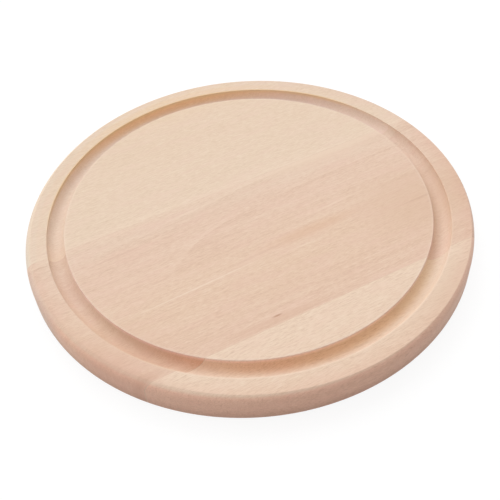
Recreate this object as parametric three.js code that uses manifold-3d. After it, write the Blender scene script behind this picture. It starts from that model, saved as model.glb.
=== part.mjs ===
// Round cutting board: three wooden staves edge-glued into a panel, turned to a disc with rounded
// edges, with a juice groove running round its upper face.
//
// Millimetres, +Z up. The origin is the centre of the underside. The grain, and with it every glue
// line, runs along X. The narrow front stave lies towards -Y.

import * as THREE from 'three';
import { mergeVertices } from 'three/addons/utils/BufferGeometryUtils.js';
import Module from 'manifold-3d';

// Driving dimensions

const boardDiameter = 250;
const boardThickness = 18;
const edgeRadius = 5;
const rimWidth = 12.5;
const grooveWidth = 9.8;
const grooveDepth = 5.2;
const frontStaveWidth = 45.2;
const middleStaveWidth = 100.8;
const glueThickness = 0.2;

// Smoothness of the round stretches

const ringSteps = 120;
const edgeSteps = 4;
const grooveSteps = 12;

// Places that follow from the driving dimensions

const boardRadius = boardDiameter / 2;
const grooveRadius = boardRadius - rimWidth - grooveWidth / 2;
const grooveRoundDepth = Math.min(grooveDepth, grooveWidth / 2);
const grooveRoundZ = boardThickness - grooveDepth + grooveRoundDepth;
const frontGlueY = -boardRadius + frontStaveWidth;
const middleStaveY = frontGlueY + glueThickness;
const backGlueY = middleStaveY + middleStaveWidth;
const backStaveY = backGlueY + glueThickness;
const backStaveWidth = boardRadius - backStaveY;

// Points of a quarter or half turn of an ellipse in the section's plane

function arcPoints(centreR, centreZ, radiusR, radiusZ, fromAngle, toAngle, steps) {
  const points = [];
  for (let step = 0; step <= steps; step += 1) {
    const angle = THREE.MathUtils.lerp(fromAngle, toAngle, step / steps);
    const r = centreR + radiusR * Math.cos(angle);
    const z = centreZ + radiusZ * Math.sin(angle);
    points.push(new THREE.Vector2(r, z));
  }
  return points;
}

// Half section of the whole board, from the centre of the underside round to the centre of the top

function boardSection() {
  const edgeCentreR = boardRadius - edgeRadius;
  const topEdgeZ = boardThickness - edgeRadius;
  const bottomEdge = arcPoints(edgeCentreR, edgeRadius, edgeRadius, edgeRadius, -Math.PI / 2, 0, edgeSteps);
  const topEdge = arcPoints(edgeCentreR, topEdgeZ, edgeRadius, edgeRadius, 0, Math.PI / 2, edgeSteps);
  const halfGroove = grooveWidth / 2;
  const groove = arcPoints(grooveRadius, grooveRoundZ, halfGroove, grooveRoundDepth, 0, -Math.PI, grooveSteps);
  return [
    new THREE.Vector2(0, 0),
    ...bottomEdge,
    ...topEdge,
    new THREE.Vector2(grooveRadius + halfGroove, boardThickness),
    ...groove,
    new THREE.Vector2(grooveRadius - halfGroove, boardThickness),
    new THREE.Vector2(0, boardThickness),
  ];
}

// Solids for the cuts

const wasm = await Module();
wasm.setup();

function solidFrom(geometry) {
  const bare = geometry.clone();
  bare.deleteAttribute('normal');
  bare.deleteAttribute('uv');
  const merged = mergeVertices(bare);
  const corners = merged.index.array;
  const triangles = [];
  for (let i = 0; i < corners.length; i += 3) {
    const [a, b, c] = corners.slice(i, i + 3);
    // The lathe folds its quads to triangles on the axis, which leaves some with no area.
    if (a !== b && b !== c && c !== a) {
      triangles.push(a, b, c);
    }
  }
  return new wasm.Manifold(new wasm.Mesh({
    numProp: 3,
    vertProperties: new Float32Array(merged.attributes.position.array),
    triVerts: new Uint32Array(triangles),
  }));
}

function geometryFrom(solid) {
  const mesh = solid.getMesh();
  const geometry = new THREE.BufferGeometry();
  geometry.setAttribute('position', new THREE.BufferAttribute(new Float32Array(mesh.vertProperties), 3));
  geometry.setIndex(new THREE.BufferAttribute(new Uint32Array(mesh.triVerts), 1));
  geometry.computeVertexNormals();
  return geometry;
}

const board = solidFrom(new THREE.LatheGeometry(boardSection(), ringSteps).rotateX(Math.PI / 2));

// One piece of the board: what lies between two planes across the grain

function boardSlice(lowY, width) {
  const slab = new THREE.BoxGeometry(boardDiameter, width, boardThickness);
  slab.translate(0, lowY + width / 2, boardThickness / 2);
  return geometryFrom(board.intersect(solidFrom(slab)));
}

function piece(name, lowY, width, finish) {
  const mesh = new THREE.Mesh(boardSlice(lowY, width), new THREE.MeshStandardMaterial(finish));
  mesh.name = name;
  return mesh;
}

// Finishes

const paleBeech = { color: 0xe7ccb7, roughness: 0.55, metalness: 0 };
const pinkBeech = { color: 0xe4c6ae, roughness: 0.55, metalness: 0 };
const creamBeech = { color: 0xead3bc, roughness: 0.55, metalness: 0 };
const curedGlue = { color: 0xb08a66, roughness: 0.4, metalness: 0 };

// Assembly

const cuttingBoard = new THREE.Group();
cuttingBoard.add(
  piece('front_stave', -boardRadius, frontStaveWidth, paleBeech),
  piece('front_glue_line', frontGlueY, glueThickness, curedGlue),
  piece('middle_stave', middleStaveY, middleStaveWidth, pinkBeech),
  piece('back_glue_line', backGlueY, glueThickness, curedGlue),
  piece('back_stave', backStaveY, backStaveWidth, creamBeech),
);

export default cuttingBoard;
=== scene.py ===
"""Looks of a round cutting board: three beech staves, two glue lines, a studio floor, light and camera.

Metres, +Z up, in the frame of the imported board. The origin is the centre of the underside, the grain
runs along X, and the narrow front stave lies towards -Y. Lengths in the finishes are millimetres.
"""

from __future__ import annotations

import logging
import math
from collections.abc import Mapping, Sequence
from dataclasses import dataclass
from enum import Enum

import bmesh
import bpy
from mathutils import Matrix, Vector


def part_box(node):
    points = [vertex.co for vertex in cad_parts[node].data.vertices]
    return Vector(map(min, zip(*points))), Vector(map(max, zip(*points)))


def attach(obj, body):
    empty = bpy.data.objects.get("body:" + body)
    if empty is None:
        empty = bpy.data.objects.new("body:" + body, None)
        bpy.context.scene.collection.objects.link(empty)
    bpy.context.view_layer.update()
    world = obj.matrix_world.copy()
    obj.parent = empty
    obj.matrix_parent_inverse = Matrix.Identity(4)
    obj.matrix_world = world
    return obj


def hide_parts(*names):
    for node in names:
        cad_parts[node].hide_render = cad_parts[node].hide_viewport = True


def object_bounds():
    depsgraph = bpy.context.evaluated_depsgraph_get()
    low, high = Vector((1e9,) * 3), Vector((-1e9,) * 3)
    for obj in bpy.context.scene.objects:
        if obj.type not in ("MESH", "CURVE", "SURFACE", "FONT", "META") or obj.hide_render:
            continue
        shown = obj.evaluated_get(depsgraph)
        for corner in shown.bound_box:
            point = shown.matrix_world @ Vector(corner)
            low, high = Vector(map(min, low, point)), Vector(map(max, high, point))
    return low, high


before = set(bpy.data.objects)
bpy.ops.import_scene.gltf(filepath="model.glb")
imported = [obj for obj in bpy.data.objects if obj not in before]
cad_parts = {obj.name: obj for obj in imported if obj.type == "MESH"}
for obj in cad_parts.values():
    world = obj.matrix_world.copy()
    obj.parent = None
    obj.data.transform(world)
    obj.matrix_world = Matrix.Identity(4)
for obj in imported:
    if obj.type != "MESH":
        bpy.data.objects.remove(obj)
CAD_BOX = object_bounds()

log = logging.getLogger("cutting_board")

BODY = "root"
MM_PER_M = 1000.0
MERGE_DISTANCE = 1e-6
CUT_DISTANCE = 1e-7

Colour = tuple[float, float, float]
Fade = tuple[float, float]
Stops = tuple[tuple[float, Colour], ...]

WHITE: Colour = (1.0, 1.0, 1.0)
NO_TINT: Stops = ((-1.0, WHITE), (1.0, WHITE))


def srgb(red: int, green: int, blue: int) -> Colour:
    """A colour as a screen shows it, turned to the linear values that a shader takes.

    Args:
        red: Red, 0 to 255.
        green: Green, 0 to 255.
        blue: Blue, 0 to 255.

    Returns:
        The three linear values, 0 to 1.
    """

    def linear(level: int) -> float:
        """One channel's linear value, by the sRGB curve."""
        share = level / 255.0
        return share / 12.92 if share <= 0.04045 else ((share + 0.055) / 1.055) ** 2.4

    return linear(red), linear(green), linear(blue)


# Shader graphs


class Signal:
    """One value in a shader graph. Arithmetic on it adds Math nodes."""

    def __init__(self, graph: Graph, socket: bpy.types.NodeSocket) -> None:
        """Keeps the graph and the socket that carries the value."""
        self.graph = graph
        self.socket = socket

    def math(self, operation: str, *others: Signal | float, first: bool = True) -> Signal:
        """Adds a Math node.

        Args:
            operation: The Math node's operation.
            others: The other operands, signals or numbers.
            first: Whether this signal is the first operand, or else the second.

        Returns:
            The node's value.
        """
        operands = [self, *others] if first else [*others, self]
        node = self.graph.add("ShaderNodeMath", {"operation": operation}, dict(enumerate(operands)))
        return Signal(self.graph, node.outputs[0])

    def __add__(self, other: Signal | float) -> Signal:
        """Sum."""
        return self.math("ADD", other)

    def __sub__(self, other: Signal | float) -> Signal:
        """Difference."""
        return self.math("SUBTRACT", other)

    def __rsub__(self, other: float) -> Signal:
        """A number less this signal."""
        return self.math("SUBTRACT", other, first=False)

    def __mul__(self, other: Signal | float) -> Signal:
        """Product."""
        return self.math("MULTIPLY", other)

    def __truediv__(self, other: Signal | float) -> Signal:
        """Quotient."""
        return self.math("DIVIDE", other)

    def __rtruediv__(self, other: float) -> Signal:
        """A number over this signal."""
        return self.math("DIVIDE", other, first=False)

    __radd__ = __add__
    __rmul__ = __mul__

    def span(self, low: float, high: float) -> Signal:
        """A smooth step.

        Args:
            low: Where the step is 0.
            high: Where it is 1, which may be the lower of the two.

        Returns:
            The step, 0 to 1.
        """
        settings = {"interpolation_type": "SMOOTHSTEP"}
        sockets = {"Value": self, "From Min": low, "From Max": high}
        return self.graph.value("ShaderNodeMapRange", settings, sockets)

    def band(self, rise: Fade, fall: Fade) -> Signal:
        """1 between a smooth step up and a smooth step down."""
        return self.span(*rise) * self.span(*fall)


Feed = Signal | bpy.types.NodeSocket | float | Sequence[float]


class Graph:
    """A shader node tree that is filled from Python expressions."""

    def __init__(self, tree: bpy.types.NodeTree) -> None:
        """Empties the tree and keeps it."""
        tree.nodes.clear()
        self.tree = tree

    def add(
        self,
        kind: str,
        settings: Mapping[str, object] | None = None,
        sockets: Mapping[str | int, Feed] | None = None,
    ) -> bpy.types.Node:
        """Adds one node.

        Args:
            kind: The node's type.
            settings: What is set on the node first. A ramp's stops are under "stops".
            sockets: The value or link of each input, by its identifier, name or number.

        Returns:
            The node.
        """
        node = self.tree.nodes.new(kind)
        for name, value in (settings or {}).items():
            if name == "stops":
                self._set_stops(node, value)
            else:
                setattr(node, name, value)
        for key, value in (sockets or {}).items():
            self._feed(self._input(node, key), value)
        return node

    def value(
        self,
        kind: str,
        settings: Mapping[str, object] | None = None,
        sockets: Mapping[str | int, Feed] | None = None,
    ) -> Signal:
        """Adds one node and gives its first output as a signal.

        Args:
            kind: The node's type.
            settings: As for add.
            sockets: As for add.

        Returns:
            That output.
        """
        return Signal(self, self.add(kind, settings, sockets).outputs[0])

    def vector(self, x: Feed, y: Feed, z: Feed) -> Signal:
        """Three values joined to a vector."""
        return self.value("ShaderNodeCombineXYZ", None, {"X": x, "Y": y, "Z": z})

    def split(self, vector: Feed) -> tuple[Signal, Signal, Signal]:
        """A vector's three values."""
        x, y, z = self.add("ShaderNodeSeparateXYZ", None, {"Vector": vector}).outputs
        return Signal(self, x), Signal(self, y), Signal(self, z)

    def noise(self, place: Signal, detail: float, roughness: float = 0.5) -> Signal:
        """Fractal noise, 0 to 1, at a place that is already scaled."""
        sockets = {"Vector": place, "Scale": 1.0, "Detail": detail, "Roughness": roughness}
        return self.value("ShaderNodeTexNoise", None, sockets)

    def mix(self, factor: Feed, first: Feed, second: Feed, blend: str = "MIX") -> Signal:
        """Two colours mixed.

        Args:
            factor: 0 for the first colour, 1 for the second.
            first: A colour.
            second: A colour.
            blend: The Mix node's blend type.

        Returns:
            The mixed colour.
        """
        settings = {"data_type": "RGBA", "blend_type": blend}
        sockets = {"Factor_Float": factor, "A_Color": first, "B_Color": second}
        return Signal(self, self._output(self.add("ShaderNodeMix", settings, sockets), "Result_Color"))

    def ramp(self, place: Signal, stops: Stops) -> Signal:
        """A colour ramp along a value, eased between its stops.

        Args:
            place: The value.
            stops: Each stop's value and colour, from the lowest value to the highest.

        Returns:
            The colour.
        """
        low, high = stops[0][0], stops[-1][0]
        shares = [((value - low) / (high - low), colour) for value, colour in stops]
        return self.value("ShaderNodeValToRGB", {"stops": shares}, {"Fac": (place - low) / (high - low)})

    def _feed(self, socket: bpy.types.NodeSocket, value: Feed) -> None:
        """Links a signal or socket to an input, or sets the input's own value.

        Args:
            socket: The input.
            value: What it gets.
        """
        if isinstance(value, Signal):
            value = value.socket
        if isinstance(value, bpy.types.NodeSocket):
            self.tree.links.new(value, socket)
        elif socket.type == "RGBA":
            socket.default_value = (*value, 1.0)
        else:
            socket.default_value = value

    @staticmethod
    def _input(node: bpy.types.Node, key: str | int) -> bpy.types.NodeSocket:
        """An input by its identifier, or else by its name or number."""
        named = [socket for socket in node.inputs if socket.identifier == key]
        return named[0] if named else node.inputs[key]

    @staticmethod
    def _output(node: bpy.types.Node, identifier: str) -> bpy.types.NodeSocket:
        """An output by its identifier."""
        return next(socket for socket in node.outputs if socket.identifier == identifier)

    @staticmethod
    def _set_stops(node: bpy.types.Node, stops: Sequence[tuple[float, Colour]]) -> None:
        """Gives a ramp its stops.

        Args:
            node: The ramp's node.
            stops: Each stop's place, 0 to 1, and colour.
        """
        ramp = node.color_ramp
        ramp.interpolation = "EASE"
        while len(ramp.elements) < len(stops):
            ramp.elements.new(1.0)
        for element, (position, colour) in zip(ramp.elements, stops):
            element.position = position
            element.color = (*colour, 1.0)


def seen_directly(graph: Graph) -> Signal:
    """1 on rays from the camera, a mirror or a glass, 0 on rays that carry light.

    Args:
        graph: The graph that the Light Path node goes into.

    Returns:
        The mask.
    """
    path = graph.add("ShaderNodeLightPath")
    camera, glossy, through = (
        Signal(graph, path.outputs[name])
        for name in ("Is Camera Ray", "Is Glossy Ray", "Is Transmission Ray")
    )
    return camera.math("MAXIMUM", glossy).math("MAXIMUM", through)


# Places in the wood


class BoardPlace:
    """Where a point of the wood lies on the board, in millimetres, and which way its surface faces.

    Its methods are masks, 0 to 1, for the parts of the surface. Each fade is where a mask starts and where
    it is full: a depth below the upper face, a distance past a lip of the groove or in from the outline,
    or, where it is a turn, how far up the surface faces.
    """

    GROOVE_DEPTH = (0.2, 1.5)
    GROOVE_FLOOR = 1.0
    GROOVE_MARGIN = (2.0, 1.0)
    EDGE_TURN = (0.995, 0.7)
    EDGE_FADE = (3.0, 6.0)
    CREST_FADE = (8.0, 5.5)
    CREST_DEPTH = (6.0, 3.0)
    RIM_FADE = (1.0, 12.0)
    RIM_TURN = (0.9, 0.99)
    OUTER_LIP = ((-0.4, 0.1), (1.2, 0.4))
    INNER_LIP = ((-1.6, -0.3), (0.6, 0.1))
    UNDER_LIP = ((-0.3, 0.0), (0.3, 0.1))

    def __init__(self, graph: Graph, board: TurnedBoard) -> None:
        """Adds the nodes that find the place.

        Args:
            graph: The finish's graph.
            board: The board that the wood is part of.
        """
        coords = graph.add("ShaderNodeTexCoord")
        millimetres = graph.value(
            "ShaderNodeVectorMath",
            {"operation": "SCALE"},
            {"Vector": coords.outputs["Object"], "Scale": MM_PER_M},
        )
        self.along, self.across, self.up = graph.split(millimetres)
        _, self.faces_back, self.faces_up = graph.split(coords.outputs["Normal"])
        self.radius = (self.along * self.along + self.across * self.across).math("SQRT")
        self.share_along = self.along / self.radius
        self.share_across = self.across.math("ABSOLUTE") / self.radius

        self.top = board.thickness * MM_PER_M
        self.outline = board.radius * MM_PER_M
        self.groove_outer = (board.radius - board.rim_width) * MM_PER_M
        turned_x = self.along - board.groove_shift[0] * MM_PER_M
        turned_y = self.across - board.groove_shift[1] * MM_PER_M
        turned_radius = (turned_x * turned_x + turned_y * turned_y).math("SQRT")
        self.past_outer_lip = turned_radius - self.groove_outer
        self.past_inner_lip = self.past_outer_lip + board.groove_width * MM_PER_M

    def in_groove(self) -> Signal:
        """The groove, from just below its lips.

        Returns:
            The mask.
        """
        start, full = (self.top - depth for depth in self.GROOVE_DEPTH)
        middle = self.top / 2
        outer, inner = (self.groove_outer + margin for margin in self.GROOVE_MARGIN)
        in_depth = self.up.band((start, full), (middle, middle + self.GROOVE_FLOOR))
        return in_depth * self.radius.span(outer, inner)

    def on_edge(self) -> Signal:
        """The wall and the rounds above and below it."""
        start, full = (self.groove_outer + distance for distance in self.EDGE_FADE)
        return self.faces_up.math("ABSOLUTE").span(*self.EDGE_TURN) * self.radius.span(start, full)

    def on_crest(self) -> Signal:
        """The upper round, with the outermost strip of the rim.

        Returns:
            The mask.
        """
        start, full = (self.outline - inset for inset in self.CREST_FADE)
        low, high = (self.top - depth for depth in self.CREST_DEPTH)
        return self.radius.span(start, full) * self.up.span(low, high)

    def on_rim(self) -> Signal:
        """The rim, more and more towards its outside."""
        return self.past_outer_lip.span(*self.RIM_FADE) * self.faces_up.span(*self.RIM_TURN)

    def on_outer_lip(self) -> Signal:
        """The groove's outer lip."""
        return self.past_outer_lip.band(*self.OUTER_LIP)

    def on_inner_lip(self) -> Signal:
        """The groove's inner lip and a strip of the face beside it."""
        return self.past_inner_lip.band(*self.INNER_LIP)

    def under_inner_lip(self) -> Signal:
        """A hairline just inside the groove's inner lip."""
        return self.past_inner_lip.band(*self.UNDER_LIP)


@dataclass(frozen=True)
class Pattern:
    """Noise drawn out along the grain: the size of its cells in millimetres, and its fineness."""

    length: float
    width: float
    depth: float
    detail: float
    roughness: float = 0.5

    def at(self, graph: Graph, place: BoardPlace, offset: float = 0.0) -> Signal:
        """Adds the noise.

        Args:
            graph: The finish's graph.
            place: The place in the wood.
            offset: A shift along the grain, in cells, that sets one stave apart from the others.

        Returns:
            The noise, 0 to 1.
        """
        along = place.along / self.length + offset
        cell = graph.vector(along, place.across / self.width, place.up / self.depth)
        return graph.noise(cell, self.detail, self.roughness)

    def about_zero(self, graph: Graph, place: BoardPlace, offset: float = 0.0) -> Signal:
        """The noise less its mean."""
        return self.at(graph, place, offset) - 0.5


# Finishes


@dataclass(frozen=True)
class Mark:
    """A streak or spot of its own in one stave, drawn out along the grain. Millimetres.

    The slope is how far it climbs across the stave for each millimetre along the grain.
    """

    x: float
    y: float
    length: float
    width: float
    colour: Colour
    strength: float
    slope: float = 0.0

    FADE = (1.0, 0.15)
    WAVER = 3.0
    WAVER_SHARE = 0.35

    def over(self, graph: Graph, wood: Signal, place: BoardPlace, streaks: Signal) -> Signal:
        """Lays the mark over the wood.

        Args:
            graph: The finish's graph.
            wood: The wood's colour so far.
            place: The place in the wood.
            streaks: The wood's streaks, which the mark wavers with.

        Returns:
            The wood's colour with the mark.
        """
        across = place.across + streaks * min(self.WAVER, self.width * self.WAVER_SHARE)
        past_middle = place.along - self.x
        from_middle = past_middle / (self.length / 2)
        from_line = (across - past_middle * self.slope - self.y) / (self.width / 2)
        reach = (from_middle * from_middle + from_line * from_line).math("SQRT")
        return graph.mix(reach.span(*self.FADE) * self.strength, wood, self.colour)


@dataclass(frozen=True)
class Rings:
    """Year rings round the pith, the middle of the tree. Millimetres.

    The pith is a line along the grain that rises through the stave, which is what draws nested arches on
    a flat face. On its front side the rings stand closer by squeeze, and show as straight streaks. All
    rings draw in by taper along the grain, and stand closer outwards by narrowing.
    """

    pith_y: float
    pith_z: float
    pith_rise: float
    width: float
    strength: float
    start: float = 0.0
    narrowing: float = 0.0
    squeeze: float = 1.0
    taper: float = 0.0

    WARP = Pattern(length=60.0, width=24.0, depth=24.0, detail=3.0)
    WARP_REACH = 5.0
    CLEAR_BEHIND = (-3.0, 9.0)
    CLEAR_BEFORE = (-8.0, -18.0)
    STRENGTH_BEFORE = 0.6
    LATE_WOOD = ((0.25, 0.97), (1.0, 0.98))
    EARLY_WOOD = (0.14, 0.0)
    EARLY_STRENGTH = 0.8
    PATCH_LENGTH = 45.0
    PATCH_WIDTH = 18.0
    PATCH_FADE = (0.2, 0.65)

    def darkness(self, graph: Graph, place: BoardPlace, seed: float) -> Signal:
        """Adds the rings: each starts pale, darkens slowly outwards and ends at a crisp line.

        Args:
            graph: The finish's graph.
            place: The place in the wood.
            seed: The stave's own shift of all noise.

        Returns:
            The rings' darkness, up to 1, and below 0 where they are paler than the wood.
        """
        side = place.across - self.pith_y
        before = side.span(*self.CLEAR_BEFORE) * self.STRENGTH_BEFORE
        clear_of_pith = side.span(*self.CLEAR_BEHIND).math("MAXIMUM", before)
        squeezed = side.math("MAXIMUM", side * -self.squeeze)
        height = place.up - (place.along * self.pith_rise + self.pith_z)
        distance = (squeezed * squeezed + height * height).math("SQRT") + place.along * self.taper
        grown = distance + self.WARP.about_zero(graph, place, seed) * self.WARP_REACH - self.start
        phase = (grown / self.width + grown * grown * self.narrowing).math("FRACT")
        late_wood = phase.band(*self.LATE_WOOD)
        early_wood = phase.span(*self.EARLY_WOOD)
        cell = graph.vector(place.along / self.PATCH_LENGTH, place.across / self.PATCH_WIDTH, seed)
        patches = graph.noise(cell, detail=1.0).span(*self.PATCH_FADE)
        return (late_wood - early_wood * self.EARLY_STRENGTH) * patches * clear_of_pith


@dataclass(frozen=True)
class Figure:
    """How strongly each kind of grain shows in one stave, and how long its lines and dashes are."""

    streaks: float
    lines: float
    line_length: float
    dashes: float
    dash_length: float
    flecks: float


@dataclass(frozen=True)
class BeechFinish:
    """Sanded beech, as a solid that the board was cut from, so that the figure runs on over every edge.

    The bands are the stave's own colours by the place across it. The edge, upper round, rim and groove tints
    are painted light and shade that multiply the wood: painted light and shade on the wall, a painted sheen
    on the upper round, painted shade on the rim and painted light and shade in the groove. Those with stops
    change along the grain, from -1 at the board's left end to 1 at its right. The groove's painted shade
    takes over from its painted light as the wall turns through groove_turn, towards the front and away from
    the lights behind the board.
    """

    name: str
    seed: float
    bands: Stops
    light: Colour
    shade: Colour
    flush: Colour
    # A painted highlight along the groove's outer lip.
    lip: Colour
    # Painted shade on the rim, darker and warmer towards its outside.
    rim: Colour
    # Painted light and shade on the wall, changing along the grain.
    edge: Stops
    # Painted light and shade in the groove, by how far its wall turns from the lights behind the board.
    painted_groove_light: Stops
    painted_groove_shade: Stops
    groove_turn: Fade
    rings: Rings
    figure: Figure
    # A painted sheen on the upper round and the outermost strip of the rim.
    crest_sheen: Stops = NO_TINT
    marks: tuple[Mark, ...] = ()

    STREAKS = Pattern(length=170.0, width=3.0, depth=10.0, detail=3.0, roughness=0.6)
    FIBRE = Pattern(length=8.0, width=0.5, depth=0.8, detail=3.0, roughness=0.65)
    FIBRE_STRENGTH = 0.4
    BLUSH = Pattern(length=22.0, width=6.0, depth=8.0, detail=2.0)
    BLUSH_FADE = (0.4, 0.75)
    BLUSH_STRENGTH = 0.3
    MOTTLE = Pattern(length=2.0, width=2.0, depth=1.4, detail=3.0, roughness=0.65)
    FLECK_CELL = (3.6, 0.8, 5.0)
    FLECK_CORE = (0.45, 0.12)
    FLECK_CHANCE = (0.3, 1.0)

    GROOVE_RUN = (0.35, 1.05)
    GROOVE_LEAST = 0.4
    # Painted highlights on the lips of the groove.
    LIP_RUN = (0.3, 0.65)
    LIP_HIGHLIGHT_STRENGTH = 0.7
    INNER_LIP_HIGHLIGHT_STRENGTH = 0.2
    UNDER_LIP_HIGHLIGHT = (1.1, 1.07, 1.17)
    # Painted shade towards the foot of the wall, in the same tint as the wall's own mottle.
    SHADED_WALL_FOOT = (12.0, 1.0)
    WALL_SHADE_AND_MOTTLE_TINT = (0.6, 0.54, 0.52)
    WALL_STRENGTH = 0.6

    ROUGHNESS = 0.56
    FIBRE_ROUGHNESS = 0.18
    FLECK_GLOSS = 0.06
    SPECULAR = 0.25
    FIBRE_RELIEF = 0.5
    FLECK_RELIEF = 0.5
    RING_RELIEF = 0.3
    BUMP_STRENGTH = 0.25
    BUMP_DISTANCE = 0.0001

    def material(self, board: TurnedBoard) -> bpy.types.Material:
        """Builds the finish.

        Args:
            board: The board, whose groove and edge have tones of their own.

        Returns:
            The material.
        """
        made = bpy.data.materials.new(self.name)
        made.use_nodes = True
        graph = Graph(made.node_tree)
        place = BoardPlace(graph, board)
        rings = self.rings.darkness(graph, place, self.seed)
        streaks = self.STREAKS.about_zero(graph, place, self.seed)
        fibre = self.FIBRE.about_zero(graph, place, self.seed)
        flecks = self._flecks(graph, place)

        coarse = streaks * self.figure.streaks + self._lines(graph, place)
        fine = fibre * self.FIBRE_STRENGTH + self._dashes(graph, place)
        tone = coarse + fine - rings * self.rings.strength - flecks * self.figure.flecks
        wood = self._toned(graph, place, tone)
        for mark in self.marks:
            wood = mark.over(graph, wood, place, streaks)
        wood = self._paint_groove_light_and_shade(graph, wood, place)
        wood = self._paint_edge_light_and_shade(graph, wood, place)
        wood = self._paint_lip_highlights(graph, wood, place)
        wood = self._shade_wall_foot_and_mottle(graph, wood, place)

        relief = fibre * self.FIBRE_RELIEF - flecks * self.FLECK_RELIEF - rings * self.RING_RELIEF
        bump = graph.add(
            "ShaderNodeBump",
            None,
            {"Strength": self.BUMP_STRENGTH, "Distance": self.BUMP_DISTANCE, "Height": relief},
        )
        shader = graph.add(
            "ShaderNodeBsdfPrincipled",
            None,
            {
                "Base Color": wood,
                "Roughness": self.ROUGHNESS + fibre * self.FIBRE_ROUGHNESS - flecks * self.FLECK_GLOSS,
                "Specular IOR Level": self.SPECULAR,
                "Normal": bump.outputs[0],
            },
        )
        graph.add("ShaderNodeOutputMaterial", None, {"Surface": shader.outputs[0]})
        return made

    def _lines(self, graph: Graph, place: BoardPlace) -> Signal:
        """The long fine lines of the grain."""
        pattern = Pattern(self.figure.line_length, width=0.8, depth=4.0, detail=2.0, roughness=0.6)
        return pattern.about_zero(graph, place, -self.seed) * self.figure.lines

    def _dashes(self, graph: Graph, place: BoardPlace) -> Signal:
        """The short dashes of the grain."""
        pattern = Pattern(self.figure.dash_length, width=0.4, depth=0.55, detail=3.0, roughness=0.7)
        return pattern.about_zero(graph, place, -self.seed) * self.figure.dashes

    def _flecks(self, graph: Graph, place: BoardPlace) -> Signal:
        """The small separate flecks that beech shows on a flat face.

        Args:
            graph: The finish's graph.
            place: The place in the wood.

        Returns:
            The flecks' darkness, 0 to 1.
        """
        length, width, depth = self.FLECK_CELL
        cell = graph.vector(place.along / length + self.seed, place.across / width, place.up / depth)
        cells = graph.add("ShaderNodeTexVoronoi", None, {"Vector": cell, "Scale": 1.0})
        core = Signal(graph, cells.outputs["Distance"]).span(*self.FLECK_CORE)
        chance = graph.value("ShaderNodeSeparateColor", None, {"Color": cells.outputs["Color"]})
        return core * chance.span(*self.FLECK_CHANCE)

    def _toned(self, graph: Graph, place: BoardPlace, tone: Signal) -> Signal:
        """The stave's own colour, which drifts from its front to its back, with the figure in it.

        Args:
            graph: The finish's graph.
            place: The place in the wood.
            tone: The figure, above 0 where it is paler than the wood and below where it is darker.

        Returns:
            The colour.
        """
        wood = graph.ramp(place.across, self.bands)
        wood = graph.mix(tone.math("MAXIMUM", 0.0), wood, self.light)
        wood = graph.mix((tone * -1.0).math("MAXIMUM", 0.0), wood, self.shade)
        blush = self.BLUSH.at(graph, place, self.seed).span(*self.BLUSH_FADE)
        return graph.mix(blush * self.BLUSH_STRENGTH, wood, self.flush)

    def _paint_groove_light_and_shade(self, graph: Graph, wood: Signal, place: BoardPlace) -> Signal:
        """Paints light and shade in the groove, most where it runs along the grain.

        Args:
            graph: The finish's graph.
            wood: The wood's colour so far.
            place: The place in the wood.

        Returns:
            The wood's colour with the groove.
        """
        # Painted light on the groove's walls that face the back, painted shade on those that face the front,
        # away from the lights behind the board.
        runs_along = place.share_across.span(*self.GROOVE_RUN)
        light = graph.ramp(place.share_along, self.painted_groove_light)
        shade = graph.ramp(place.share_along, self.painted_groove_shade)
        groove = graph.mix(runs_along * place.faces_back.span(*self.groove_turn), light, shade)
        strength = self.GROOVE_LEAST + runs_along * (1.0 - self.GROOVE_LEAST)
        return graph.mix(place.in_groove() * strength, wood, groove, "MULTIPLY")

    def _paint_edge_light_and_shade(self, graph: Graph, wood: Signal, place: BoardPlace) -> Signal:
        """Paints light and shade on the edge: light and shade on the wall, a sheen on the upper round
        and shade on the rim.

        Args:
            graph: The finish's graph.
            wood: The wood's colour so far.
            place: The place in the wood.

        Returns:
            The wood's colour with the edge.
        """
        # Painted light and shade: the edge stops on the wall, a painted sheen on the upper round and painted
        # shade on the rim.
        edge = graph.ramp(place.share_along, self.edge)
        crest_sheen = graph.ramp(place.share_along, self.crest_sheen)
        wood = graph.mix(place.on_edge(), wood, edge, "MULTIPLY")
        wood = graph.mix(place.on_crest(), wood, crest_sheen, "MULTIPLY")
        return graph.mix(place.on_rim(), wood, self.rim, "MULTIPLY")

    def _paint_lip_highlights(self, graph: Graph, wood: Signal, place: BoardPlace) -> Signal:
        """Paints highlights on both lips of the groove and a lighter hairline just inside the inner lip.

        Args:
            graph: The finish's graph.
            wood: The wood's colour so far.
            place: The place in the wood.

        Returns:
            The wood's colour with the painted highlights.
        """
        # Painted highlights: the lip colour along the outer lip, the wood's light colour on the inner lip
        # and a lighter hairline just inside it.
        outer = place.on_outer_lip() * place.share_across.span(*self.LIP_RUN)
        wood = graph.mix(outer * self.LIP_HIGHLIGHT_STRENGTH, wood, self.lip)
        wood = graph.mix(place.on_inner_lip() * self.INNER_LIP_HIGHLIGHT_STRENGTH, wood, self.light)
        return graph.mix(place.under_inner_lip(), wood, self.UNDER_LIP_HIGHLIGHT, "MULTIPLY")

    def _shade_wall_foot_and_mottle(self, graph: Graph, wood: Signal, place: BoardPlace) -> Signal:
        """Paints shade on the wall, darker towards its foot, and mottles it.

        Args:
            graph: The finish's graph.
            wood: The wood's colour so far.
            place: The place in the wood.

        Returns:
            The wood's colour with the wall's painted shade and mottle.
        """
        on_edge = place.on_edge()
        # Painted shade, darker towards the foot; the mottle is the wall's own.
        foot = on_edge * place.up.span(*self.SHADED_WALL_FOOT) * self.WALL_STRENGTH
        mottle = on_edge * self.MOTTLE.about_zero(graph, place) * self.WALL_STRENGTH
        return graph.mix(foot + mottle, wood, self.WALL_SHADE_AND_MOTTLE_TINT, "MULTIPLY")


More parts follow.
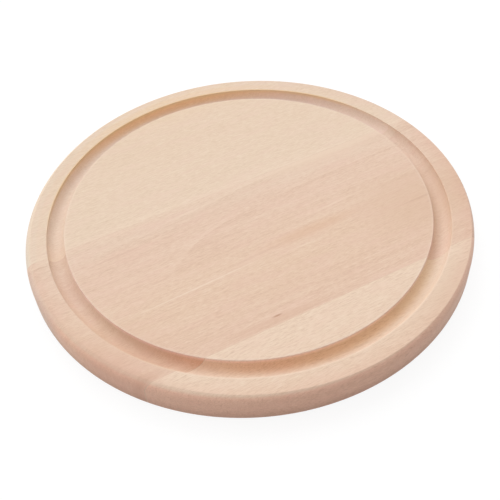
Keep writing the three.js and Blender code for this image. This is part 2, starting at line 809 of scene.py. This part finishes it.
@dataclass(frozen=True)
class GlueFinish:
    """Cured glue, an amber hairline with a little wood dust in it."""

    name: str
    amber: Colour
    dust: Colour

    DUST_SCALE = (90.0, 400.0, 900.0)
    DUST_DETAIL = 4.0
    DUST_FINENESS = 0.65
    DUST_FADE = (0.3, 0.7)
    ROUGHNESS = 0.35
    DUST_ROUGHNESS = 0.3

    def material(self, _board: TurnedBoard) -> bpy.types.Material:
        """Builds the finish.

        Args:
            _board: The board, which makes no difference to glue.

        Returns:
            The material.
        """
        made = bpy.data.materials.new(self.name)
        made.use_nodes = True
        graph = Graph(made.node_tree)
        coords = graph.add("ShaderNodeTexCoord")
        stretch = graph.value(
            "ShaderNodeMapping",
            None,
            {"Vector": coords.outputs["Object"], "Scale": self.DUST_SCALE},
        )
        dust = graph.noise(stretch, self.DUST_DETAIL, self.DUST_FINENESS)
        colour = graph.mix(dust.span(*self.DUST_FADE), self.amber, self.dust)
        shader = graph.add(
            "ShaderNodeBsdfPrincipled",
            None,
            {"Base Color": colour, "Roughness": self.ROUGHNESS + dust * self.DUST_ROUGHNESS},
        )
        graph.add("ShaderNodeOutputMaterial", None, {"Surface": shader.outputs[0]})
        return made


@dataclass(frozen=True)
class FloorFinish:
    """Matt pale floor that the camera, and what mirrors it, sees as white with a light shadow."""

    name: str = "studio_floor"
    pale: Colour = (0.6, 0.6, 0.6)
    white: Colour = WHITE
    glow_share: float = 0.85
    glow_strength: float = 1.05

    def material(self) -> bpy.types.Material:
        """Builds the finish.

        Returns:
            The material.
        """
        made = bpy.data.materials.new(self.name)
        made.use_nodes = True
        graph = Graph(made.node_tree)
        seen = seen_directly(graph)
        pale = graph.add("ShaderNodeBsdfDiffuse", None, {"Color": self.pale})
        white = graph.add("ShaderNodeBsdfDiffuse", None, {"Color": self.white})
        glow = graph.add(
            "ShaderNodeEmission",
            None,
            {"Color": self.white, "Strength": self.glow_strength},
        )
        shown = graph.add(
            "ShaderNodeMixShader",
            None,
            {0: self.glow_share, 1: white.outputs[0], 2: glow.outputs[0]},
        )
        both = graph.add("ShaderNodeMixShader", None, {0: seen, 1: pale.outputs[0], 2: shown.outputs[0]})
        graph.add("ShaderNodeOutputMaterial", None, {"Surface": both.outputs[0]})
        return made


# Meshes


class SectionPen:
    """Draws a wire in the plane of a half section, one line or arc after another."""

    TURN_AXIS = Vector((0.0, -1.0, 0.0))

    def __init__(self, bm: bmesh.types.BMesh, r: float, z: float) -> None:
        """Starts the wire at a point."""
        self.bm = bm
        self.tip = bm.verts.new((r, 0.0, z))

    def line(self, r: float, z: float) -> None:
        """Draws a straight line to a point.

        Args:
            r: The point's distance from the board's axis.
            z: The point's height.
        """
        made = bmesh.ops.extrude_vert_indiv(self.bm, verts=[self.tip])
        self.tip = made["verts"][0]
        self.tip.co = (r, 0.0, z)

    def arc(self, r: float, z: float, turn: float, steps: int) -> None:
        """Draws an arc from where the wire ends.

        Args:
            r: The centre's distance from the board's axis.
            z: The centre's height.
            turn: The angle, anticlockwise as drawn with the axis on the left.
            steps: How many straight steps stand for the arc.
        """
        made = bmesh.ops.spin(
            self.bm,
            geom=[self.tip],
            cent=(r, 0.0, z),
            axis=self.TURN_AXIS,
            angle=turn,
            steps=steps,
        )
        self.tip = next(item for item in made["geom_last"] if isinstance(item, bmesh.types.BMVert))


@dataclass
class TurnedBoard:
    """The whole board as it leaves the router: a disc with rounded edges and a juice groove.

    Two wires of its half section are spun, the edge round the board's axis and the face with its groove
    round an axis that lies groove_shift beside it. The upper edge was rounded a little out of true with
    the upper face, so the round meets the face in a crease, soft where the round dips and crisp where it
    rises. Narrow bands beside the round stretches keep the flat faces flat in the shading.
    """

    radius: float
    thickness: float
    edge_radius: float = 0.005
    round_depth: float = 0.0043
    round_lean: float = 0.00068
    lean_azimuth: float = math.radians(195.0)
    rim_width: float = 0.0124
    groove_width: float = 0.0096
    groove_depth: float = 0.0052
    groove_shift: tuple[float, float] = (0.00015, 0.00032)
    arris_radius: float = 0.00025
    flat_band: float = 0.0003
    turn_steps: int = 360
    edge_steps: int = 14
    arris_steps: int = 8
    groove_steps: int = 28

    QUARTER = math.pi / 2
    CREASE_BANDS = 3

    def build(self) -> bmesh.types.BMesh:
        """Makes the closed surface of the whole board.

        Returns:
            A new bmesh, which the caller frees.
        """
        bm = bmesh.new()
        self._draw_shell(bm)
        self._spin(bm, Vector((0.0, 0.0, 0.0)))
        self._lean_round(bm)
        self._draw_face(bm)
        self._spin(bm, Vector((*self.groove_shift, 0.0)))
        rims = [edge for edge in bm.edges if edge.is_boundary]
        bmesh.ops.bridge_loops(bm, edges=rims)
        bmesh.ops.recalc_face_normals(bm, faces=bm.faces)
        return bm

    def _draw_shell(self, bm: bmesh.types.BMesh) -> None:
        """Draws the underside and the edge, with its upper round whole.

        Args:
            bm: The mesh to draw in.
        """
        edge = self.edge_radius
        edge_r = self.radius - edge
        round_z = self.thickness - self.round_depth
        pen = SectionPen(bm, 0.0, 0.0)
        pen.line(edge_r - self.flat_band, 0.0)
        pen.line(edge_r, 0.0)
        pen.arc(edge_r, edge, self.QUARTER, self.edge_steps)
        pen.line(self.radius, round_z)
        pen.arc(edge_r, round_z, self.QUARTER, self.edge_steps)

    def _lean_round(self, bm: bmesh.types.BMesh) -> None:
        """Leans the upper round and planes off what stands above the upper face.

        Args:
            bm: The mesh, which holds only the spun shell.
        """
        edge_r = self.radius - self.edge_radius
        across_lean = Vector((-math.sin(self.lean_azimuth), math.cos(self.lean_azimuth), 0.0))
        bmesh.ops.rotate(
            bm,
            cent=(0.0, 0.0, self.thickness - self.round_depth),
            matrix=Matrix.Rotation(self.round_lean / edge_r, 3, across_lean),
            verts=[vert for vert in bm.verts if vert.co.z > self.thickness / 2],
        )
        bmesh.ops.bisect_plane(
            bm,
            geom=[*bm.verts, *bm.edges, *bm.faces],
            dist=CUT_DISTANCE,
            plane_co=(0.0, 0.0, self.thickness),
            plane_no=(0.0, 0.0, 1.0),
            clear_outer=True,
        )

    def _draw_face(self, bm: bmesh.types.BMesh) -> None:
        """Draws the upper face and its groove, from the rim in to the centre.

        Args:
            bm: The mesh to draw in.
        """
        top = self.thickness
        cove = self.groove_width / 2
        cove_r = self.radius - self.rim_width - cove
        cove_z = top - (self.groove_depth - cove)
        arris = self.arris_radius
        arris_z = top - arris
        lean = math.asin((cove_z - arris_z) / (cove + arris))
        arris_reach = (cove + arris) * math.cos(lean)
        face_r = self.radius - self.edge_radius - self.CREASE_BANDS * self.flat_band
        pen = SectionPen(bm, face_r, top)
        pen.line(cove_r + arris_reach + self.flat_band, top)
        pen.line(cove_r + arris_reach, top)
        pen.arc(cove_r + arris_reach, arris_z, self.QUARTER - lean, self.arris_steps)
        pen.arc(cove_r, cove_z, 2 * lean - math.pi, self.groove_steps)
        pen.arc(cove_r - arris_reach, arris_z, self.QUARTER - lean, self.arris_steps)
        pen.line(cove_r - arris_reach - self.flat_band, top)
        pen.line(0.0, top)

    def _spin(self, bm: bmesh.types.BMesh, centre: Vector) -> None:
        """Spins the wire that was drawn last, and closes it on the axis.

        Args:
            bm: The mesh that holds the wire.
            centre: The place of the axis, which the wire is moved to.
        """
        wire = [edge for edge in bm.edges if edge.is_wire]
        ends = dict.fromkeys(vert for edge in wire for vert in edge.verts)
        bmesh.ops.translate(bm, vec=centre, verts=list(ends))
        bmesh.ops.spin(
            bm,
            geom=[*ends, *wire],
            cent=centre,
            axis=(0.0, 0.0, 1.0),
            angle=math.tau,
            steps=self.turn_steps,
            use_merge=True,
        )
        bmesh.ops.remove_doubles(bm, verts=bm.verts, dist=MERGE_DISTANCE)


@dataclass
class Slice:
    """One glued-up piece of the board: what lies between two planes along the grain."""

    node: str
    slot: str
    crease: float = math.radians(14.0)
    slack: float = 1e-5

    def build(self, board: bmesh.types.BMesh, material: bpy.types.Material) -> bpy.types.Object:
        """Cuts the piece out of the board, dresses it and puts it in its node's place.

        Args:
            board: The whole board's surface.
            material: The piece's finish.

        Returns:
            The new object.
        """
        low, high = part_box(self.node)
        bm = board.copy()
        board_low = min(vert.co.y for vert in bm.verts)
        board_high = max(vert.co.y for vert in bm.verts)
        if low.y > board_low + self.slack:
            self._cut(bm, low.y, -1.0)
        if high.y < board_high - self.slack:
            self._cut(bm, high.y, 1.0)
        bmesh.ops.recalc_face_normals(bm, faces=bm.faces)
        mesh = bpy.data.meshes.new(f"{self.node}_looks")
        bm.to_mesh(mesh)
        bm.free()
        mesh.shade_smooth()
        mesh.set_sharp_from_angle(angle=self.crease)
        mesh.materials.append(material)
        piece = bpy.data.objects.new(f"{self.node}_looks", mesh)
        bpy.context.scene.collection.objects.link(piece)
        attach(piece, BODY)
        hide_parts(self.node)
        return piece

    @staticmethod
    def _cut(bm: bmesh.types.BMesh, y: float, outward: float) -> None:
        """Cuts away all that lies beyond a plane and closes the cut.

        Args:
            bm: The mesh to cut.
            y: The plane's place across the grain.
            outward: 1 to cut away what lies towards +Y, -1 for -Y.
        """
        bmesh.ops.bisect_plane(
            bm,
            geom=[*bm.verts, *bm.edges, *bm.faces],
            dist=CUT_DISTANCE,
            plane_co=(0.0, y, 0.0),
            plane_no=(0.0, outward, 0.0),
            clear_outer=True,
        )
        rim = [edge for edge in bm.edges if edge.is_boundary]
        bmesh.ops.holes_fill(bm, edges=rim, sides=0)


# Studio


@dataclass(frozen=True)
class Shot:
    """The photograph's viewpoint, measured from the centre of the board's upper face.

    Angles are in radians and the distance in metres. The focal length, the frame and the place where that
    centre shows are in pixels.
    """

    azimuth: float = math.radians(-24.774)
    elevation: float = 0.82273
    roll: float = -0.07064
    distance: float = 0.4353925
    focal_px: float = 772.8
    frame_px: float = 500.0
    centre_px: tuple[float, float] = (247.32, 209.1)
    sensor_mm: float = 36.0
    clip_start: float = 0.01

    def camera(self, target: Vector) -> bpy.types.Object:
        """Makes the camera and sets it as the scene's own.

        Args:
            target: The point that shows at centre_px.

        Returns:
            The camera object.
        """
        cos_e, sin_e = math.cos(self.elevation), math.sin(self.elevation)
        turn = Matrix.Rotation(self.azimuth, 3, "Z")
        back = turn @ Vector((0.0, -cos_e, sin_e))
        level_right = turn @ Vector((1.0, 0.0, 0.0))
        level_up = turn @ Vector((0.0, sin_e, cos_e))
        cos_r, sin_r = math.cos(self.roll), math.sin(self.roll)
        right = level_right * cos_r + level_up * sin_r
        up = level_up * cos_r - level_right * sin_r
        half = self.frame_px / 2
        shift_right = (self.centre_px[0] - half) / self.focal_px * self.distance
        shift_down = (self.centre_px[1] - half) / self.focal_px * self.distance
        data = bpy.data.cameras.new("camera")
        data.sensor_width = self.sensor_mm
        data.lens = self.focal_px / self.frame_px * self.sensor_mm
        data.clip_start = self.clip_start
        camera = bpy.data.objects.new("camera", data)
        place = target + back * self.distance - right * shift_right + up * shift_down
        camera.matrix_world = Matrix.Translation(place) @ Matrix((right, up, back)).transposed().to_4x4()
        bpy.context.scene.collection.objects.link(camera)
        bpy.context.scene.camera = camera
        return camera


@dataclass(frozen=True)
class SoftSun:
    """A wide soft light far off, counted from the viewpoint: azimuth 0 is to its right, 90 ahead.

    The level is what the light gives a level surface, where 1 in all shows colours as they are written.
    """

    name: str
    azimuth: float
    elevation: float
    spread: float
    level: float

    def build(self, shot: Shot) -> None:
        """Makes the light.

        Args:
            shot: The viewpoint that the light's direction is counted from.
        """
        data = bpy.data.lights.new(self.name, "SUN")
        data.energy = self.level * math.pi / math.sin(self.elevation)
        data.angle = self.spread
        light = bpy.data.objects.new(self.name, data)
        flat = math.cos(self.elevation)
        towards = Matrix.Rotation(shot.azimuth, 3, "Z") @ Vector((
            flat * math.cos(self.azimuth),
            flat * math.sin(self.azimuth),
            math.sin(self.elevation),
        ))
        light.rotation_euler = towards.to_track_quat("Z", "Y").to_euler()
        bpy.context.scene.collection.objects.link(light)


@dataclass
class Studio:
    """Plain pale floor, wide soft lights, most of them from behind the board, and an even sky."""

    floor_radius: float = 6.0
    floor_sides: int = 96
    lights: tuple[SoftSun, ...] = (
        SoftSun("key", math.radians(85.0), math.radians(42.0), math.radians(60.0), 0.27),
        SoftSun("fill", math.radians(140.0), math.radians(38.0), math.radians(70.0), 0.25),
        SoftSun("front", math.radians(238.0), math.radians(20.0), math.radians(100.0), 0.03),
    )
    sky_level: float = 0.48

    def build(self, shot: Shot) -> None:
        """Makes the floor, the lights and the sky.

        Args:
            shot: The viewpoint that the lights' directions are counted from.
        """
        self._floor()
        for light in self.lights:
            light.build(shot)
        self._sky()

    def _floor(self) -> None:
        """Makes a wide disc under the board."""
        bm = bmesh.new()
        bmesh.ops.create_circle(bm, cap_ends=True, segments=self.floor_sides, radius=self.floor_radius)
        mesh = bpy.data.meshes.new("floor")
        bm.to_mesh(mesh)
        bm.free()
        mesh.materials.append(FloorFinish().material())
        floor = bpy.data.objects.new("floor", mesh)
        bpy.context.scene.collection.objects.link(floor)

    def _sky(self) -> None:
        """Makes an even white light from all round, over a white background."""
        world = bpy.data.worlds.new("sky")
        world.use_nodes = True
        graph = Graph(world.node_tree)
        seen = seen_directly(graph)
        light = graph.add("ShaderNodeBackground", None, {"Strength": self.sky_level})
        white = graph.add("ShaderNodeBackground", None, {"Color": WHITE, "Strength": 1.0})
        both = graph.add("ShaderNodeMixShader", None, {0: seen, 1: light.outputs[0], 2: white.outputs[0]})
        graph.add("ShaderNodeOutputWorld", None, {"Surface": both.outputs[0]})
        bpy.context.scene.world = world


# Assembly


class Timber(Enum):
    """The beech of each stave, and the glue between them."""

    # In each finish the lip colour is a painted highlight, the rim colour painted shade, the edge stops
    # painted light and shade on the wall, the upper round's stops a painted sheen and the groove's stops
    # painted light and shade.
    FRONT = BeechFinish(
        "front_beech",
        seed=3.1,
        bands=((-125.0, srgb(235, 206, 181)), (-80.0, srgb(239, 213, 189))),
        light=srgb(248, 228, 209),
        shade=srgb(206, 170, 144),
        flush=srgb(238, 205, 184),
        lip=srgb(243, 217, 195),
        rim=(0.97, 0.92, 0.915),
        edge=(
            (-0.75, (1.11, 0.9, 0.87)),
            (-0.4, (1.115, 0.92, 0.9)),
            (0.2, (1.137, 0.952, 0.937)),
            (0.6, (1.22, 1.07, 1.08)),
        ),
        painted_groove_light=((0.2, (1.01, 1.035, 1.065)), (0.75, (0.95, 1.0, 1.05))),
        painted_groove_shade=((-0.5, (1.0, 0.78, 0.64)), (0.1, (1.04, 0.92, 0.76)), (0.6, (1.08, 1.03, 0.88))),
        groove_turn=(0.45, -0.6),
        rings=Rings(pith_y=-95.0, pith_z=-70.0, pith_rise=0.02, width=4.5, strength=0.05),
        figure=Figure(streaks=0.2, lines=0.5, line_length=14.0, dashes=2.5, dash_length=3.6, flecks=0.2),
        marks=(Mark(70.0, -104.0, 120.0, 54.0, srgb(227, 197, 172), 0.45),),
    )
    MIDDLE = BeechFinish(
        "middle_beech",
        seed=7.7,
        bands=(
            (-80.0, srgb(231, 198, 174)),
            (-45.0, srgb(232, 201, 175)),
            (0.0, srgb(232, 201, 178)),
            (14.0, srgb(232, 204, 181)),
            (21.0, srgb(234, 207, 183)),
        ),
        light=srgb(246, 225, 206),
        shade=srgb(206, 167, 140),
        flush=srgb(235, 198, 180),
        lip=srgb(234, 203, 177),
        rim=(0.97, 0.92, 0.915),
        edge=(
            (-1.0, (0.99, 0.985, 1.03)),
            (-0.97, (1.13, 1.0, 0.985)),
            (0.7, (1.14, 1.05, 1.05)),
            (0.82, (1.18, 1.16, 1.2)),
            (1.0, (1.1, 1.09, 1.12)),
        ),
        painted_groove_light=(
            (-1.0, (0.97, 1.0, 1.07)),
            (-0.96, (0.93, 0.92, 0.93)),
            (-0.77, (0.95, 0.91, 0.87)),
            (0.5, (0.97, 0.99, 1.05)),
            (0.85, (1.0, 1.08, 1.15)),
            (1.0, (0.98, 1.07, 1.16)),
        ),
        painted_groove_shade=((-0.7, (1.0, 0.6, 0.4)), (0.7, (1.04, 0.95, 0.88))),
        groove_turn=(0.35, -0.7),
        rings=Rings(
            pith_y=-26.8,
            pith_z=-10.3,
            pith_rise=0.254,
            width=33.4,
            strength=0.14,
            start=16.4,
            narrowing=0.00073,
            squeeze=2.8,
            taper=0.081,
        ),
        figure=Figure(streaks=0.45, lines=0.65, line_length=40.0, dashes=2.15, dash_length=3.0, flecks=0.12),
        marks=(
            Mark(23.0, -31.5, 78.0, 12.0, srgb(221, 176, 143), 0.38),
            Mark(92.0, -40.0, 120.0, 76.0, srgb(221, 185, 159), 0.5),
            Mark(62.0, 24.0, 130.0, 34.0, srgb(237, 211, 187), 0.8),
            Mark(-50.0, -38.4, 104.0, 1.4, srgb(248, 228, 209), 0.5, 0.035),
            Mark(14.0, -39.8, 30.0, 1.4, srgb(247, 226, 206), 0.4),
            Mark(-6.0, -33.2, 60.0, 2.2, srgb(218, 182, 156), 0.3, 0.06),
            Mark(-76.0, 3.6, 44.0, 1.8, srgb(213, 174, 150), 0.4, 0.03),
            Mark(42.0, -20.7, 60.0, 2.2, srgb(241, 216, 194), 0.4, 0.06),
            Mark(-26.0, 11.2, 70.0, 2.4, srgb(222, 188, 162), 0.4, 0.03),
            Mark(-26.0, 14.8, 70.0, 2.2, srgb(242, 218, 196), 0.4, 0.06),
            Mark(88.0, -41.0, 40.0, 2.0, srgb(210, 170, 144), 0.4),
            Mark(-8.0, -78.2, 110.0, 2.4, srgb(212, 172, 146), 0.32),
            Mark(-13.0, -68.0, 90.0, 2.4, srgb(238, 210, 187), 0.4),
            Mark(-25.0, -76.0, 90.0, 7.0, srgb(219, 180, 154), 0.4),
            Mark(-98.0, -76.5, 44.0, 8.0, srgb(208, 168, 142), 0.4),
            Mark(-104.0, -60.0, 80.0, 56.0, srgb(224, 182, 159), 0.35),
            Mark(-22.1, -74.5, 8.0, 1.8, srgb(196, 150, 124), 0.9),
        ),
    )
    BACK = BeechFinish(
        "back_beech",
        seed=11.3,
        bands=(
            (21.0, srgb(237, 212, 188)),
            (30.0, srgb(234, 209, 184)),
            (85.0, srgb(233, 207, 181)),
            (125.0, srgb(236, 206, 172)),
        ),
        light=srgb(249, 231, 212),
        shade=srgb(213, 182, 155),
        flush=srgb(237, 206, 187),
        lip=srgb(238, 202, 153),
        rim=(0.98, 0.945, 0.95),
        edge=((-1.0, (1.015, 1.06, 1.12)), (-0.9, (1.03, 1.04, 1.06)), (0.9, (1.03, 1.04, 1.06))),
        crest_sheen=(
            (-0.9, (1.0, 1.035, 1.05)),
            (-0.6, (1.0, 1.045, 1.06)),
            (-0.4, (1.0, 1.06, 1.13)),
            (0.4, (1.0, 1.05, 1.115)),
            (0.85, (1.0, 1.005, 1.01)),
        ),
        painted_groove_light=(
            (-0.98, (1.05, 1.06, 1.08)),
            (-0.94, (1.06, 1.11, 1.26)),
            (-0.77, (1.04, 1.09, 1.22)),
            (0.9, (1.057, 1.085, 1.29)),
        ),
        painted_groove_shade=((-0.6, (1.15, 1.0, 0.82)), (0.5, (1.11, 0.965, 0.79))),
        groove_turn=(-0.1, -0.95),
        rings=Rings(pith_y=70.0, pith_z=-95.0, pith_rise=-0.03, width=6.0, strength=0.05),
        figure=Figure(streaks=0.2, lines=0.3, line_length=25.0, dashes=2.4, dash_length=3.6, flecks=0.15),
    )
    GLUE = GlueFinish("glue", amber=srgb(222, 190, 164), dust=srgb(232, 204, 180))


def set_view() -> None:
    """Shows colours as they are written."""
    bpy.context.scene.view_settings.view_transform = "Standard"


def main() -> None:
    """Builds the board and the studio round it."""
    logging.basicConfig(level=logging.INFO, format="%(name)s: %(message)s")
    set_view()
    high = CAD_BOX[1]
    board = TurnedBoard(radius=high.x, thickness=high.z)
    shot = Shot()
    shot.camera(Vector((0.0, 0.0, board.thickness)))
    Studio().build(shot)
    materials = {timber: timber.value.material(board) for timber in Timber}
    surface = board.build()
    for piece, timber in (
        (Slice("front_stave", "front_wood"), Timber.FRONT),
        (Slice("front_glue_line", "glue"), Timber.GLUE),
        (Slice("middle_stave", "middle_wood"), Timber.MIDDLE),
        (Slice("back_glue_line", "glue"), Timber.GLUE),
        (Slice("back_stave", "back_wood"), Timber.BACK),
    ):
        made = piece.build(surface, materials[timber])
        log.info("%s: %d faces", made.name, len(made.data.polygons))
    surface.free()


if __name__ == "__main__":
    main()
